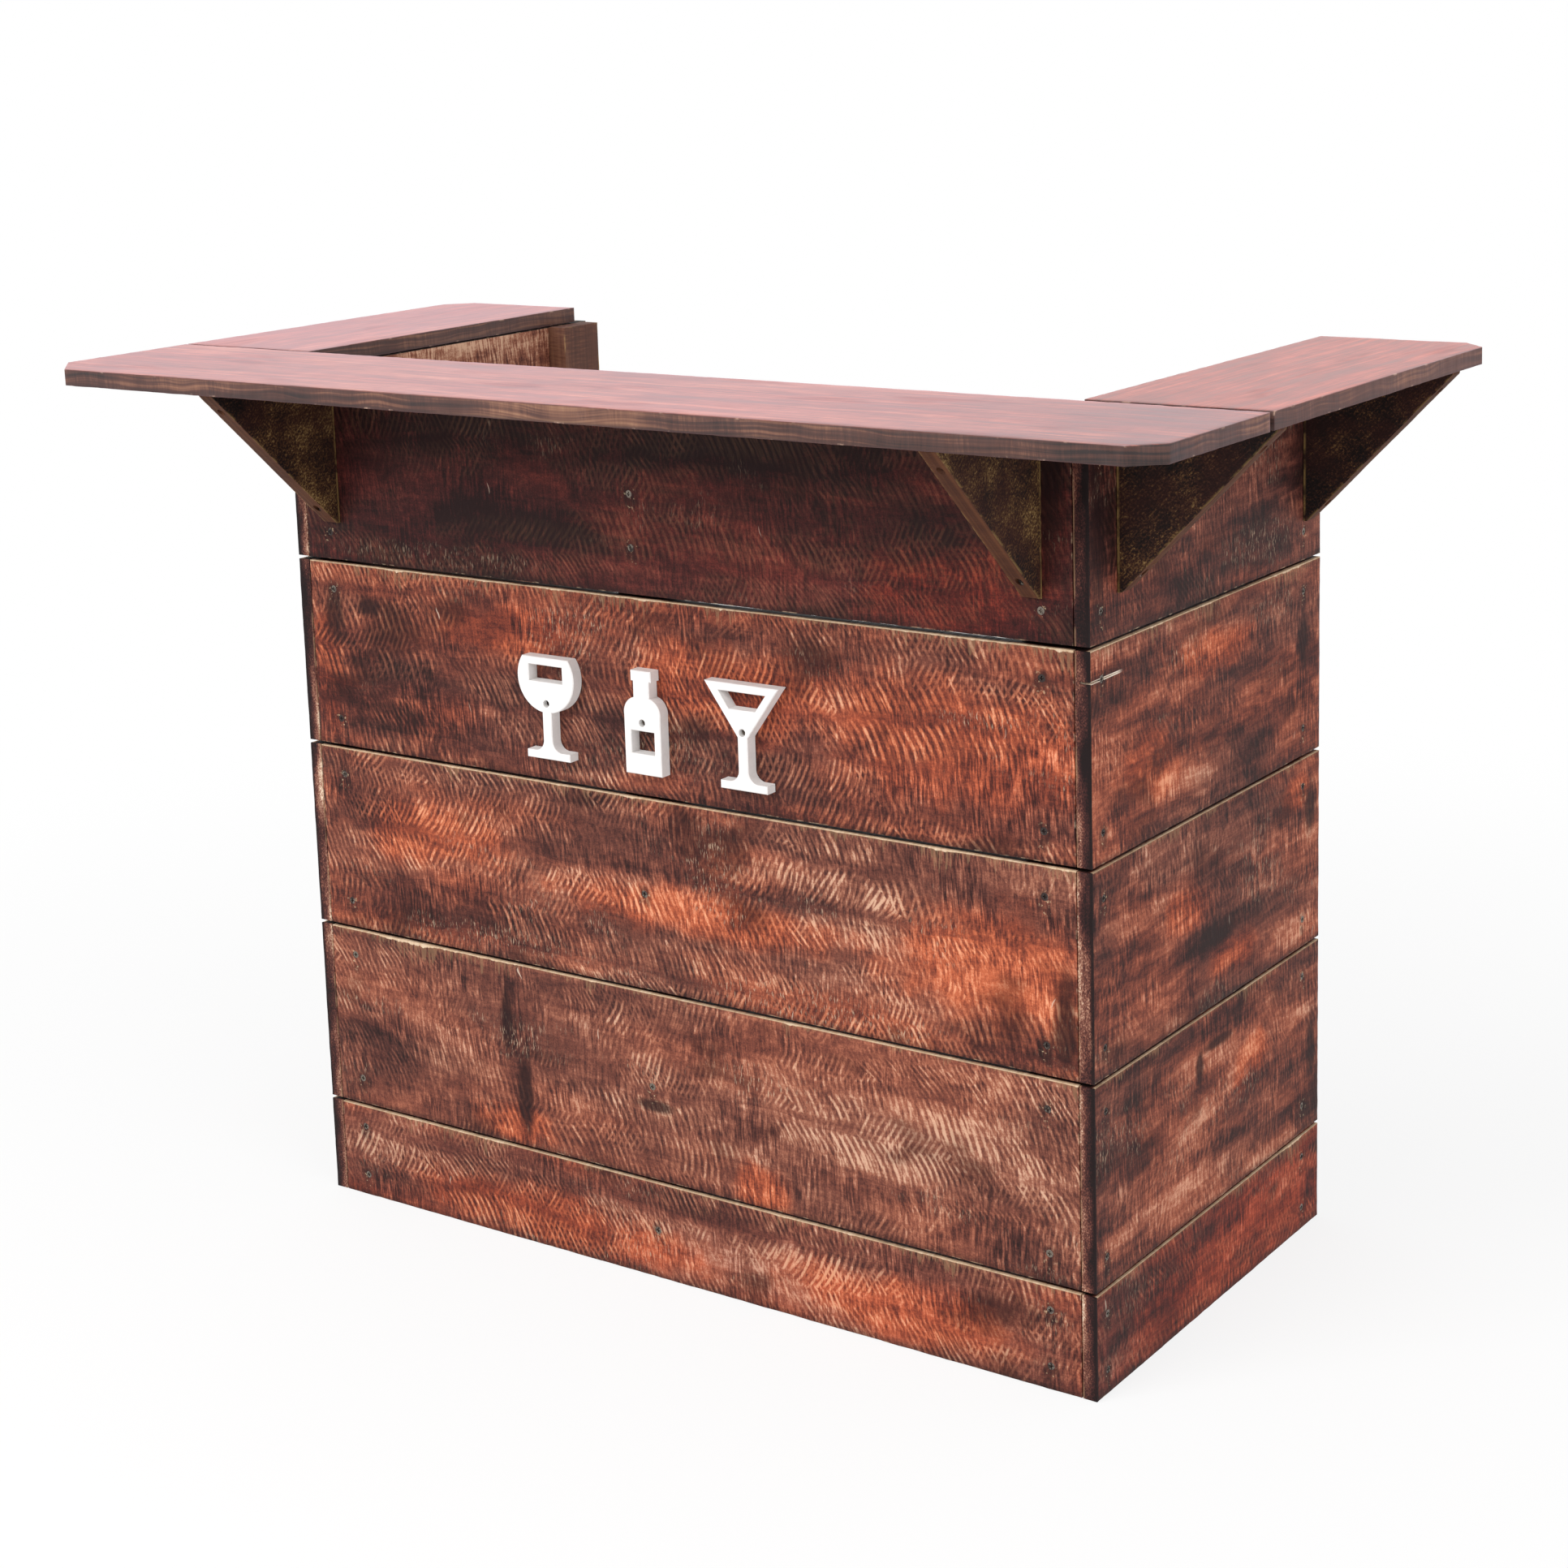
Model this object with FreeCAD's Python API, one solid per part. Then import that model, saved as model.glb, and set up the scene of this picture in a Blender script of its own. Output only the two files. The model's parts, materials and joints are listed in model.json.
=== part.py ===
import FreeCAD, Part
import os
from FreeCAD import Placement, Rotation, Vector

# A three-sided bar counter of rough-sawn boards. The front panel lies between two side panels,
# a top board rests on each panel, and triangular plank brackets carry the overhang.
# X runs along the front, Y from the front to the open back, Z up.
# The origin is on the floor, in the middle of the outline seen from above.

# Panel boards
board_width = 225.0            # sawn width of a full board
base_board_width = 117.0       # narrow board at the floor
full_boards = 4                # full boards above the base board
board_thickness = 18.0
seam_gap = 3.0                 # open gap between two boards
front_length = 1043.0          # front boards, from side panel to side panel
side_length = 543.0            # side boards, from the front face to the back
edge_easing = 1.5              # worn edge along every board

# Top boards
top_thickness = 20.0
front_top_width = 235.0        # its rear edge is flush with the back of the front boards
side_top_width = 205.0         # measured outward from the inside of a side panel
left_top_setback = 23.0        # rear end of the left top, short of the back of the side boards
right_top_overrun = 37.0       # rear end of the right top, past the back of the side boards
left_top_gap = 2.5             # joint between the front top and the left top
right_top_gap = 8.0            # the same joint on the right, which stands open
corner_clip = 30.0             # sawn-off outer corners of the tops
left_fore_clip = 48.0          # the larger one, at the left end of the front top

# Battens inside the panels
batten_width = 70.0
batten_thickness = 28.0
middle_batten_offset = -32.0   # middle of the front's middle batten
rear_batten_setback = 10.0     # rear battens, in from the back ends of the side boards

# Plank brackets under the overhang
bracket_thickness = 22.0
bracket_drop = 180.0           # along the panel
front_bracket_reach = 192.0    # along the underside of the front top
side_bracket_reach = 176.0     # along the underside of a side top
bracket_nose = 5.0             # blunt ends of the long edge
front_bracket_inset = 45.0     # middle of a bracket, in from the end of the front boards
fore_bracket_inset = 68.0      # middle of a side's first bracket, behind the front face
rear_bracket_inset = 38.0      # middle of a side's second bracket, in from the back

# Countersunk wood screws
screw_head_diameter = 8.5
screw_head_height = 3.5
screw_shank_diameter = 4.5
screw_tip_length = 6.0
screw_tip_diameter = 1.0
screw_sink = 0.6               # head below the surface of the wood
screw_clearance = 0.1          # all round, between a screw and its hole
recess_width = 1.3             # cross recess in the head
recess_length = 4.8
recess_depth = 1.6
panel_screw_length = 40.0
bracket_screw_length = 35.0
ornament_screw_length = 22.0
screw_edge_distance = 33.0     # from the long edges of a full board
base_screw_edge_distance = 27.0
front_screw_inset = 37.0       # from the ends of the front boards
second_screw_drop = 60.0       # second middle screw of the top front board, below the first
corner_screw_share = 0.25      # place across the edge of the front's end batten
top_screw_bite = 14.0          # bracket screw, into a top board
panel_screw_bite = 14.0        # bracket screw, into a panel board
bracket_screw_share = 0.88     # place along the two legs of a bracket

# Painted cut-outs on the second front board
ornament_height = 118.0
ornament_thickness = 15.0
ornament_rise = 29.0           # above the lower edge of their board
ornament_spacing = 136.0
ornament_offset = -14.0        # middle of the row, along the front
ornament_easing = 1.0
ornament_screw_sink = 6.0      # head below the face of a cut-out
ornament_wall = 9.0            # wood left round a window
ornament_stem = 13.0
foot_width = 62.0
foot_thickness = 9.0
foot_bend = 13.0               # round from the foot into the stem
bowl_width = 78.0
rim_width = 66.0
cocktail_rim_width = 98.0
bottle_width = 50.0
bottle_neck_width = 22.0
bottle_lip_width = 28.0
bottle_lip_height = 12.0
bottle_window_height = 26.0
bowl_base_share = 0.46         # heights on the cut-outs, as shares of their whole height
bowl_swell_share = 0.70
drink_level_share = 0.76
cocktail_base_share = 0.50
bottle_shoulder_share = 0.56
bottle_neck_share = 0.74
bottle_window_share = 0.20
glass_screw_share = 0.55
bottle_screw_share = 0.50
diagonal_share = 0.5 ** 0.5    # of a round's radius, at the middle of a quarter turn

# Places worked out from the sizes above
panel_height = base_board_width + full_boards * (board_width + seam_gap)
inside_x = front_length / 2
outside_x = inside_x + board_thickness
top_reach_x = inside_x + side_top_width
left_top_reach = side_length - left_top_setback
right_top_reach = side_length + right_top_overrun
front_overhang = front_top_width - board_thickness
rear_reach = max(side_length, left_top_reach, right_top_reach)
front_y = front_overhang - (front_overhang + rear_reach) / 2
back_y = front_y + side_length
batten_back_y = front_y + board_thickness + batten_thickness
front_top_back_y = front_y - front_overhang + front_top_width
left, right = -1, 1

UP = Vector(0, 0, 1)
BACKWARD = Vector(0, 1, 0)


def sideways(side):
    """Unit vector that points out of the counter on one side."""
    return Vector(side, 0, 0)


def span_box(x0, x1, y0, y1, z0, z1):
    """Box between two corners, given in either order along each axis."""
    low = Vector(min(x0, x1), min(y0, y1), min(z0, z1))
    return Part.makeBox(abs(x1 - x0), abs(y1 - y0), abs(z1 - z0), low)


def eased(solid, amount):
    """The solid with a small worn bevel on all its edges."""
    return solid.makeChamfer(amount, solid.Edges)


def prism(points, along):
    """Closed outline pushed along a vector."""
    return Part.Face(Part.makePolygon(points + points[:1])).extrude(along)


def board_levels():
    """Name, lower edge, upper edge and screw distance of each board of a panel, from the floor up."""
    levels = [("base_board", 0.0, base_board_width, base_screw_edge_distance)]
    for course in range(full_boards):
        low = base_board_width + seam_gap + course * (board_width + seam_gap)
        name = "board_%d" % (full_boards - course)
        levels.append((name, low, low + board_width, screw_edge_distance))
    return levels


# Screws

def screw_body(length, grow=0.0):
    """Countersunk screw along +Z, its head's outer face at the origin, grown all round."""
    head = screw_head_diameter / 2 + grow
    shank = screw_shank_diameter / 2 + grow
    tip = screw_tip_diameter / 2 + grow
    profile = [(0.0, 0.0), (head, 0.0), (shank, screw_head_height), (shank, length - screw_tip_length),
               (tip, length), (0.0, length)]
    points = [Vector(x, 0, z) for x, z in profile]
    outline = Part.Face(Part.makePolygon(points + points[:1]))
    return outline.revolve(Vector(0, 0, 0), UP, 360).Solids[0]


def screw_template(length):
    """Screw with a cross recess, along +Z."""
    body = screw_body(length)
    half_length = recess_length / 2
    half_width = recess_width / 2
    for x, y in ((half_length, half_width), (half_width, half_length)):
        body = body.cut(span_box(-x, x, -y, y, -recess_depth, recess_depth))
    return body.Solids[0]


def screw_hole(length, pocket):
    """Hole for a screw along +Z, open towards the head over the pocket's depth."""
    head = screw_head_diameter / 2 + screw_clearance
    way_in = Part.makeCylinder(head, pocket, UP * -pocket)
    return screw_body(length, screw_clearance).fuse(way_in)


def placed(shape, seat, direction):
    copy = shape.copy()
    copy.Placement = Placement(seat, Rotation(UP, direction))
    return copy


screw_groups = {}
holes = []


def drive(group, seats, direction, length, pocket):
    """Adds screws to a group and their holes to the list that every wooden piece is drilled with."""
    template = screw_template(length)
    hole = screw_hole(length, pocket)
    for seat in seats:
        screw_groups.setdefault(group, []).append(placed(template, seat, direction))
        holes.append(placed(hole, seat, direction))


def drilled(solid):
    """The solid with every screw hole that reaches it."""
    near = [hole for hole in holes if hole.BoundBox.intersect(solid.BoundBox)]
    return solid.cut(near) if near else solid


def screw_heights(low, high, edge):
    return (low + edge, high - edge)


def drive_front_screws():
    """Two screws into each end batten and one into the middle batten, on every front board.
    The top board has a second one in the middle."""
    seats = []
    for _, low, high, edge in board_levels():
        for side in (left, right):
            x = side * (inside_x - front_screw_inset)
            seats += [Vector(x, front_y + screw_sink, z) for z in screw_heights(low, high, edge)]
        seats.append(Vector(middle_batten_offset, front_y + screw_sink, (low + high) / 2))
    seats.append(seats[-1] - UP * second_screw_drop)
    drive("front_board_screws", seats, BACKWARD, panel_screw_length, screw_sink)


def drive_side_screws(side, label):
    """Two screws into the front's end batten and two into the rear batten, on every side board."""
    corner = front_y + board_thickness + corner_screw_share * batten_thickness
    rear = back_y - rear_batten_setback - batten_width / 2
    x = side * (outside_x - screw_sink)
    seats = []
    for _, low, high, edge in board_levels():
        for z in screw_heights(low, high, edge):
            seats += [Vector(x, corner, z), Vector(x, rear, z)]
    drive(label + "_side_screws", seats, sideways(-side), panel_screw_length, screw_sink)


# Panels

def add_panel_boards(pieces):
    """Horizontal boards of the front and of both sides."""
    for name, low, high, _ in board_levels():
        front = span_box(-inside_x, inside_x, front_y, front_y + board_thickness, low, high)
        pieces["front_" + name] = eased(front, edge_easing)
        for side, label in ((left, "left"), (right, "right")):
            flank = span_box(side * inside_x, side * outside_x, front_y, back_y, low, high)
            pieces[label + "_" + name] = eased(flank, edge_easing)


def add_battens(pieces):
    """Upright battens: three behind the front boards, one at the back of each side."""
    near = front_y + board_thickness
    middles = {
        "front_left_batten": -inside_x + batten_width / 2,
        "front_middle_batten": middle_batten_offset,
        "front_right_batten": inside_x - batten_width / 2,
    }
    for name, middle in middles.items():
        low_x = middle - batten_width / 2
        batten = span_box(low_x, low_x + batten_width, near, batten_back_y, 0.0, panel_height)
        pieces[name] = eased(batten, edge_easing)
    rear = back_y - rear_batten_setback
    for side, label in ((left, "left"), (right, "right")):
        inner = side * (inside_x - batten_thickness)
        batten = span_box(side * inside_x, inner, rear - batten_width, rear, 0.0, panel_height)
        pieces[label + "_rear_batten"] = eased(batten, edge_easing)


# Tops

def top_board(points):
    """Top board from its outline seen from above."""
    corners = [Vector(x, y, panel_height) for x, y in points]
    return eased(prism(corners, UP * top_thickness), edge_easing)


def add_tops(pieces):
    """Front top over the whole width, and a side top behind each of its ends."""
    near = front_y - front_overhang
    clip = corner_clip
    pieces["front_top"] = top_board([
        (-top_reach_x, front_top_back_y), (-top_reach_x, near + left_fore_clip),
        (-top_reach_x + left_fore_clip, near), (top_reach_x - clip, near), (top_reach_x, near + clip),
        (top_reach_x, front_top_back_y)])
    for side, label, gap, reach in ((left, "left", left_top_gap, left_top_reach),
                                    (right, "right", right_top_gap, right_top_reach)):
        start = front_top_back_y + gap
        end = front_y + reach
        inner = side * inside_x
        outer = side * top_reach_x
        pieces[label + "_top"] = top_board([
            (inner, start), (outer, start), (outer, end - clip), (outer - side * clip, end), (inner, end)])


# Brackets

def bracket(foot, outward, across, reach):
    """Triangular plank under a top: foot is the corner between panel and top, at the plank's middle."""
    legs = [(0.0, 0.0), (reach, 0.0), (reach, -bracket_nose),
            (bracket_nose, -bracket_drop), (0.0, -bracket_drop)]
    start = foot - across * (bracket_thickness / 2)
    points = [start + outward * out + UP * rise for out, rise in legs]
    return eased(prism(points, across * bracket_thickness), edge_easing)


def drive_bracket_screws(group, foot, outward, reach):
    """One screw up into the top and one into the panel, both from pockets in the long edge."""
    up_head = bracket_screw_length - top_screw_bite
    up_seat = foot + outward * (bracket_screw_share * reach) - UP * up_head
    drive(group, [up_seat], UP, bracket_screw_length, bracket_drop)
    in_head = bracket_screw_length - panel_screw_bite
    in_seat = foot - UP * (bracket_screw_share * bracket_drop) + outward * in_head
    drive(group, [in_seat], outward * -1, bracket_screw_length, reach)


def add_brackets(pieces):
    """Two brackets under each top."""
    forward = Vector(0, -1, 0)
    for side, label in ((left, "left"), (right, "right")):
        foot = Vector(side * (inside_x - front_bracket_inset), front_y, panel_height)
        pieces["front_%s_bracket" % label] = bracket(foot, forward, Vector(1, 0, 0), front_bracket_reach)
        drive_bracket_screws("front_bracket_screws", foot, forward, front_bracket_reach)
        places = {"fore": front_y + fore_bracket_inset, "rear": back_y - rear_bracket_inset}
        for place, y in places.items():
            name = "%s_%s_bracket" % (label, place)
            foot = Vector(side * outside_x, y, panel_height)
            pieces[name] = bracket(foot, sideways(side), BACKWARD, side_bracket_reach)
            drive_bracket_screws(label + "_bracket_screws", foot, sideways(side), side_bracket_reach)


# Cut-outs

def mirrored_outline(segments):
    """Closed wire from the right half of an outline: lines of two points and arcs of three."""
    edges = []
    for points in segments:
        for flip in (1, -1):
            spots = [Vector(flip * x, 0, z) for x, z in points]
            if len(spots) == 2:
                edges.append(Part.makeLine(*spots))
            else:
                edges.append(Part.Arc(*spots).toShape())
    return Part.Wire(Part.__sortEdges__(edges))


def cut_out(outline, window):
    """Flat wooden figure with one window, its back at y = 0 and its front face eased."""
    depth = BACKWARD * -ornament_thickness
    figure = Part.Face(mirrored_outline(outline)).extrude(depth)
    figure = figure.cut(Part.Face(mirrored_outline(window)).extrude(depth))
    rim = [edge for edge in figure.Edges if edge.BoundBox.YMax < -ornament_thickness / 2]
    return figure.makeChamfer(ornament_easing, rim)


def glass_foot(stem_top):
    """Foot and stem that both glasses stand on, up to the given height."""
    half_foot = foot_width / 2
    half_stem = ornament_stem / 2
    bend_end = foot_thickness + foot_bend
    quarter = foot_bend * (1 - diagonal_share)
    return [
        [(0.0, 0.0), (half_foot, 0.0)],
        [(half_foot, 0.0), (half_foot, foot_thickness)],
        [(half_foot, foot_thickness), (half_stem + foot_bend, foot_thickness)],
        [(half_stem + foot_bend, foot_thickness),
         (half_stem + quarter, foot_thickness + quarter), (half_stem, bend_end)],
        [(half_stem, bend_end), (half_stem, stem_top)],
    ]


def wine_glass():
    """Stemmed glass with a round bowl, open above the drink."""
    base = bowl_base_share * ornament_height
    swell = bowl_swell_share * ornament_height
    level = drink_level_share * ornament_height
    half_stem = ornament_stem / 2
    half_rim = rim_width / 2
    outline = glass_foot(base) + [
        [(half_stem, base), (bowl_width / 2, swell), (half_rim, ornament_height)],
        [(half_rim, ornament_height), (0.0, ornament_height)],
    ]
    brim = ornament_height - ornament_wall
    inner = half_rim - ornament_wall
    window = [
        [(0.0, level), (inner, level)],
        [(inner, level), (inner, brim)],
        [(inner, brim), (0.0, brim)],
    ]
    return cut_out(outline, window)


def cocktail_glass():
    """Stemmed glass with a straight cone, open above the drink."""
    base = cocktail_base_share * ornament_height
    level = drink_level_share * ornament_height
    half_stem = ornament_stem / 2
    half_rim = cocktail_rim_width / 2
    slope = (half_rim - half_stem) / (ornament_height - base)
    brim = ornament_height - ornament_wall
    outline = glass_foot(base) + [
        [(half_stem, base), (half_rim, ornament_height)],
        [(half_rim, ornament_height), (0.0, ornament_height)],
    ]
    wall = ornament_wall * (1 + slope ** 2) ** 0.5
    at_level = half_stem + slope * (level - base) - wall
    at_brim = half_stem + slope * (brim - base) - wall
    window = [
        [(0.0, level), (at_level, level)],
        [(at_level, level), (at_brim, brim)],
        [(at_brim, brim), (0.0, brim)],
    ]
    return cut_out(outline, window)


def bottle():
    """Bottle with a round shoulder, a lip and a window where its label would be."""
    half = bottle_width / 2
    half_neck = bottle_neck_width / 2
    half_lip = bottle_lip_width / 2
    shoulder = bottle_shoulder_share * ornament_height
    neck = bottle_neck_share * ornament_height
    lip = ornament_height - bottle_lip_height
    bend = (half_neck + (half - half_neck) * diagonal_share, shoulder + (neck - shoulder) * diagonal_share)
    outline = [
        [(0.0, 0.0), (half, 0.0)],
        [(half, 0.0), (half, shoulder)],
        [(half, shoulder), bend, (half_neck, neck)],
        [(half_neck, neck), (half_neck, lip)],
        [(half_neck, lip), (half_lip, lip)],
        [(half_lip, lip), (half_lip, ornament_height)],
        [(half_lip, ornament_height), (0.0, ornament_height)],
    ]
    low = bottle_window_share * ornament_height
    inner = half - ornament_wall
    window = [
        [(0.0, low), (inner, low)],
        [(inner, low), (inner, low + bottle_window_height)],
        [(inner, low + bottle_window_height), (0.0, low + bottle_window_height)],
    ]
    return cut_out(outline, window)


def add_ornaments(pieces):
    """Row of three cut-outs on the second board from the top, each held by one screw."""
    board_low = panel_height - 2 * board_width - seam_gap
    row = (("wine_glass_cutout", wine_glass(), glass_screw_share),
           ("bottle_cutout", bottle(), bottle_screw_share),
           ("cocktail_glass_cutout", cocktail_glass(), glass_screw_share))
    for place, (name, figure, screw_share) in enumerate(row, start=-1):
        x = ornament_offset + place * ornament_spacing
        low = board_low + ornament_rise
        figure.translate(Vector(x, front_y, low))
        pieces[name] = figure
        seat_y = front_y - ornament_thickness + ornament_screw_sink
        seat = Vector(x, seat_y, low + screw_share * ornament_height)
        drive("cutout_screws", [seat], BACKWARD, ornament_screw_length, ornament_screw_sink)


def build():
    pieces = {}
    add_panel_boards(pieces)
    add_battens(pieces)
    add_tops(pieces)
    add_brackets(pieces)
    add_ornaments(pieces)
    drive_front_screws()
    drive_side_screws(left, "left")
    drive_side_screws(right, "right")
    nodes = {name: drilled(solid) for name, solid in pieces.items()}
    for group, screws in screw_groups.items():
        nodes[group] = Part.makeCompound(screws)
    return nodes


os.makedirs("parts", exist_ok=True)
for node, shape in build().items():
    shape.exportStep("parts/%s.step" % node)
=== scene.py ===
import json
import math

import bpy
import numpy as np
from mathutils import Matrix, Vector


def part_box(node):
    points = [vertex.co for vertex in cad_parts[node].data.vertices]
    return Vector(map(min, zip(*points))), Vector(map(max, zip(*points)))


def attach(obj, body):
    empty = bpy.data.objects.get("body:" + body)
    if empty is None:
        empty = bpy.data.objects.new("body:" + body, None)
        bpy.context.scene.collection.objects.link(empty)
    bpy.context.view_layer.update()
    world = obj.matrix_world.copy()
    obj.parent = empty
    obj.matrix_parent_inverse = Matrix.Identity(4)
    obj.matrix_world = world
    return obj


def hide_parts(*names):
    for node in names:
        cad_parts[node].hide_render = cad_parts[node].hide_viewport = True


# A three-sided bar counter of rough-sawn, red-brown stained boards, in metres.
# X runs along the front, Y from the front to the open back, Z up.

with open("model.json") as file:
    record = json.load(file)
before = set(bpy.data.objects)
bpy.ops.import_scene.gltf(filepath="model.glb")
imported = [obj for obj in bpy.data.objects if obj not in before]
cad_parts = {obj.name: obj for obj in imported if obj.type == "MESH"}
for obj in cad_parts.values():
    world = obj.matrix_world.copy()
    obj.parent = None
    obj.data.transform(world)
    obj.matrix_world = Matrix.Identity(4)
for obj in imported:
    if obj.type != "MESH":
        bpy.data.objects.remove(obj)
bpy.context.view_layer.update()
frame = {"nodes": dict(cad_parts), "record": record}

# Sizes that the planks share with their solids
corner_clip = 0.030            # sawn-off outer corners of the tops
left_fore_clip = 0.048         # the larger one, at the left end of the front top
bracket_nose = 0.005           # blunt ends of a bracket's long edge
screw_reach = 0.047            # longer than a screw, shorter than the way to the next one
head_radius = 0.00435          # screw hole at the head
head_depth = 0.0042
seat_pocket = 0.002            # way in for the screws of the panels
bracket_pocket = 0.030         # way in for the screws of the brackets
drill_sides = 24               # sides of a screw seat's round

# Points and wear of the wood
plank_step = 0.006             # distance between the points of a plank's face
sliver = 0.0022                # narrowest strip left beside a cut
edge_bevel = 0.0008
edge_wear = 0.0008             # deepest dent in an edge
face_wear = 0.0005             # deepest hollow in a face
edge_dent_size = 0.016
face_hollow_size = 0.070
crack_length = 0.070           # split at the front end of the right side's second board
crack_width = 0.0026
crack_depth = 0.012
skin = 0.003                   # how far the inner side's look reaches into a board

sharp_angle = math.radians(30)     # edges sharper than this are bevelled
smooth_angle = math.radians(40)    # edges flatter than this are shaded smooth

AXES = "XYZ"
FACE_TURNS = {
    "X": (math.pi / 2, 0.0, math.pi / 2),
    "Y": (math.pi / 2, 0.0, 0.0),
    "Z": (0.0, 0.0, 0.0),
}
levels = ("base_board", "board_4", "board_3", "board_2", "board_1")


# Modelling

def activate(piece):
    bpy.ops.object.select_all(action="DESELECT")
    piece.select_set(True)
    bpy.context.view_layer.objects.active = piece


def apply_modifier(piece, kind, **settings):
    """Adds a modifier with its settings and applies it at once."""
    activate(piece)
    modifier = piece.modifiers.new(kind.title(), kind)
    for name, value in settings.items():
        setattr(modifier, name, value)
    bpy.ops.object.modifier_apply(modifier=modifier.name)


def cloud_texture(name, size):
    texture = bpy.data.textures.new(name, "CLOUDS")
    texture.noise_scale = size
    texture.noise_depth = 3
    return texture


edge_dents = cloud_texture("edge_dents", edge_dent_size)
face_hollows = cloud_texture("face_hollows", face_hollow_size)


def screws_of(node):
    """Head's middle and driving direction of every screw in a group, read from its solids."""
    mesh = frame["nodes"][node].data
    points = np.zeros(len(mesh.vertices) * 3)
    mesh.vertices.foreach_get("co", points)
    points = points.reshape(-1, 3)
    screws = []
    while len(points):
        own = np.linalg.norm(points - points[0], axis=1) < screw_reach
        screw = points[own]
        points = points[~own]
        low, high = screw.min(0), screw.max(0)
        axis = int(np.argmax(high - low))
        middle = (low + high) / 2
        near_low = screw[screw[:, axis] < middle[axis]]
        spread = np.ptp(near_low, axis=0).sum() - np.ptp(near_low[:, axis])
        near_high = screw[screw[:, axis] > middle[axis]]
        other = np.ptp(near_high, axis=0).sum() - np.ptp(near_high[:, axis])
        into = 1.0 if spread > other else -1.0
        middle[axis] = low[axis] if into > 0 else high[axis]
        direction = Vector((0.0, 0.0, 0.0))
        direction[axis] = into
        screws.append((Vector(middle), direction))
    return screws


def near_box(point, low, high, margin):
    return all(low[i] - margin < point[i] < high[i] + margin for i in range(3))


def seats_in(node, screws):
    """The screws whose heads sit in a piece."""
    low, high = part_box(node)
    return [screw for screw in screws if near_box(screw[0], low, high, head_depth)]


def drill(piece, seats, pocket):
    """Cuts the seats of screws into a piece."""
    if not seats:
        return
    bits = []
    for seat, direction in seats:
        length = pocket + head_depth
        turn = direction.to_track_quat("Z", "Y").to_euler()
        middle = seat + direction * (head_depth - length / 2)
        bpy.ops.mesh.primitive_cylinder_add(
            vertices=drill_sides, radius=head_radius, depth=length, location=middle, rotation=turn)
        bits.append(bpy.context.object)
    cut_away(piece, bits)


def cut_away(piece, cutters):
    """Takes the joined cutters out of a piece and removes them."""
    activate(cutters[0])
    for cutter in cutters:
        cutter.select_set(True)
    bpy.ops.object.join()
    cutter = bpy.context.object
    apply_modifier(piece, "BOOLEAN", operation="DIFFERENCE", solver="MANIFOLD", object=cutter)
    bpy.data.objects.remove(cutter)


def settle_on_cut(piece, point, normal):
    """Moves the points that a cut has left close beside it onto the cut, and merges them there."""
    for vertex in piece.data.vertices:
        depth = (vertex.co - point).dot(normal)
        if depth > -sliver:
            vertex.co -= normal * depth
    activate(piece)
    bpy.ops.object.mode_set(mode="EDIT")
    bpy.ops.mesh.select_all(action="SELECT")
    bpy.ops.mesh.remove_doubles(threshold=sliver)
    bpy.ops.object.mode_set(mode="OBJECT")


def plank(node, facing, cuts=(), screws=(), pocket=seat_pocket):
    """Sawn plank in the place of a solid: a grid cut to its outline, thickened, with worn edges.
    Each cut is a point and the outward normal of a sawn face."""
    low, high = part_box(node)
    size = high - low
    thin = AXES.index(facing)
    across, up = [i for i in range(3) if i != thin]
    bpy.ops.object.select_all(action="DESELECT")
    bpy.ops.mesh.primitive_grid_add(
        x_subdivisions=max(2, round(size[across] / plank_step)),
        y_subdivisions=max(2, round(size[up] / plank_step)),
        size=1.0, location=(low + high) / 2, rotation=FACE_TURNS[facing])
    piece = bpy.context.object
    piece.name = "rough_" + node
    piece.scale = (size[across], size[up], 1.0)
    bpy.ops.object.transform_apply(location=True, rotation=True, scale=True)
    bpy.ops.object.mode_set(mode="EDIT")
    for point, normal in cuts:
        bpy.ops.mesh.select_all(action="SELECT")
        bpy.ops.mesh.bisect(plane_co=point, plane_no=normal, clear_outer=True)
    bpy.ops.object.mode_set(mode="OBJECT")
    for point, normal in cuts:
        settle_on_cut(piece, point, normal.normalized())
    apply_modifier(piece, "SOLIDIFY", thickness=size[thin], offset=0.0)
    bpy.ops.object.mode_set(mode="EDIT")
    bpy.ops.mesh.select_all(action="SELECT")
    bpy.ops.mesh.normals_make_consistent(inside=False)
    bpy.ops.mesh.select_all(action="DESELECT")
    bpy.ops.mesh.edges_select_sharp(sharpness=sharp_angle)
    bpy.ops.mesh.bevel(offset=edge_bevel, segments=2, affect="EDGES")
    bpy.ops.object.vertex_group_assign_new()
    bpy.ops.object.mode_set(mode="OBJECT")
    worn = piece.vertex_groups.active.name
    apply_modifier(piece, "DISPLACE", texture=face_hollows, strength=face_wear, mid_level=1.0)
    apply_modifier(piece, "DISPLACE", texture=edge_dents, strength=edge_wear, mid_level=1.0,
                   vertex_group=worn)
    drill(piece, seats_in(node, screws), pocket)
    activate(piece)
    bpy.ops.object.shade_smooth_by_angle(angle=smooth_angle)
    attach(piece, "root")
    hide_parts(node)
    for subpart in frame["record"]["subparts"]:
        subpart["node"] == node
    return piece


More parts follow.
